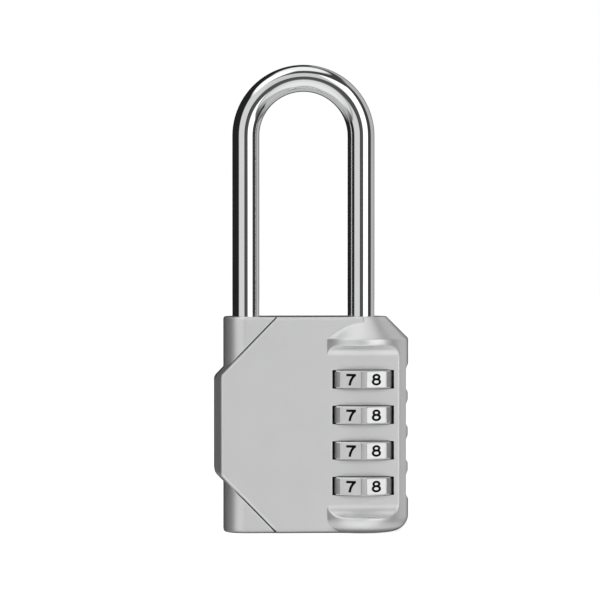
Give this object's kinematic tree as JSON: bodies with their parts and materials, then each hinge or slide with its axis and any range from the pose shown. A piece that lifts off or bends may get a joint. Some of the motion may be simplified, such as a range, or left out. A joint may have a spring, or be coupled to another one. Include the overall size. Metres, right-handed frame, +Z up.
{
  "type": "combination padlock",
  "caption": "Resettable combination padlock with a long round shackle that lifts out of a side post when the numbered dials in its barrel line up",
  "frame": {"origin": "middle of the underside of the body, on the plane where the front and rear shells meet", "axes": "+X from the short leg's post towards the dial barrel, +Y from the front face to the rear, +Z up along the shackle"},
  "size_m": [0.0432, 0.021, 0.1037],
  "materials": {
    "satin_zinc": "satin silver finish on die-cast zinc",
    "rivet_steel": "satin steel",
    "chromed_steel": "polished chrome plate",
    "plated_dial": "bright plated die-cast metal",
    "black_enamel": "black enamel filling",
    "sleeve_brass": "machined brass",
    "spring_steel": "bare spring steel"
  },
  "bodies": {
    "housing": {"front_housing": "satin_zinc", "rear_housing": "satin_zinc", "shackle_post": "satin_zinc", "housing_rivets": "rivet_steel", "detent_spring": "spring_steel", "reset_spring": "spring_steel"},
    "shackle": {"shackle": "chromed_steel", "retaining_ring": "spring_steel"},
    "dial_1": {"dial_1": "plated_dial", "digits_1": "black_enamel"},
    "sleeve_1": {"sleeve_1": "sleeve_brass"},
    "dial_2": {"dial_2": "plated_dial", "digits_2": "black_enamel"},
    "sleeve_2": {"sleeve_2": "sleeve_brass"},
    "dial_3": {"dial_3": "plated_dial", "digits_3": "black_enamel"},
    "sleeve_3": {"sleeve_3": "sleeve_brass"},
    "dial_4": {"dial_4": "plated_dial", "digits_4": "black_enamel"},
    "sleeve_4": {"sleeve_4": "sleeve_brass", "thrust_washer": "spring_steel"}
  },
  "joints": [
    {"name": "shackle_lift", "type": "slide", "parent": "housing", "child": "shackle", "axis": [0, 0, 1], "range_m": [0, 0.0078]},
    {"name": "dial_1_turn", "type": "hinge", "parent": "housing", "child": "dial_1", "pos_m": [0.0111, 0, 0.034], "axis": [0, 0, 1], "continuous": true, "deforming": ["detent_spring"]},
    {"name": "dial_2_turn", "type": "hinge", "parent": "housing", "child": "dial_2", "pos_m": [0.0111, 0, 0.02615], "axis": [0, 0, 1], "continuous": true, "deforming": ["detent_spring"]},
    {"name": "dial_3_turn", "type": "hinge", "parent": "housing", "child": "dial_3", "pos_m": [0.0111, 0, 0.0183], "axis": [0, 0, 1], "continuous": true, "deforming": ["detent_spring"]},
    {"name": "dial_4_turn", "type": "hinge", "parent": "housing", "child": "dial_4", "pos_m": [0.0111, 0, 0.01045], "axis": [0, 0, 1], "continuous": true, "deforming": ["detent_spring"]},
    {"name": "sleeve_1_shift", "type": "slide", "parent": "dial_1", "child": "sleeve_1", "axis": [0, 0, 1], "range_m": [-0.0011, 0], "stiffness_N_per_m": 800, "springref_m": 0.002},
    {"name": "sleeve_2_shift", "type": "slide", "parent": "dial_2", "child": "sleeve_2", "axis": [0, 0, 1], "range_m": [-0.0011, 0]},
    {"name": "sleeve_3_shift", "type": "slide", "parent": "dial_3", "child": "sleeve_3", "axis": [0, 0, 1], "range_m": [-0.0011, 0]},
    {"name": "sleeve_4_shift", "type": "slide", "parent": "dial_4", "child": "sleeve_4", "axis": [0, 0, 1], "range_m": [-0.0011, 0], "deforming": ["reset_spring"]}
  ],
  "couplings": [
    {"joint": "sleeve_2_shift", "follows": "sleeve_1_shift", "ratio": 1},
    {"joint": "sleeve_3_shift", "follows": "sleeve_1_shift", "ratio": 1},
    {"joint": "sleeve_4_shift", "follows": "sleeve_1_shift", "ratio": 1}
  ]
}
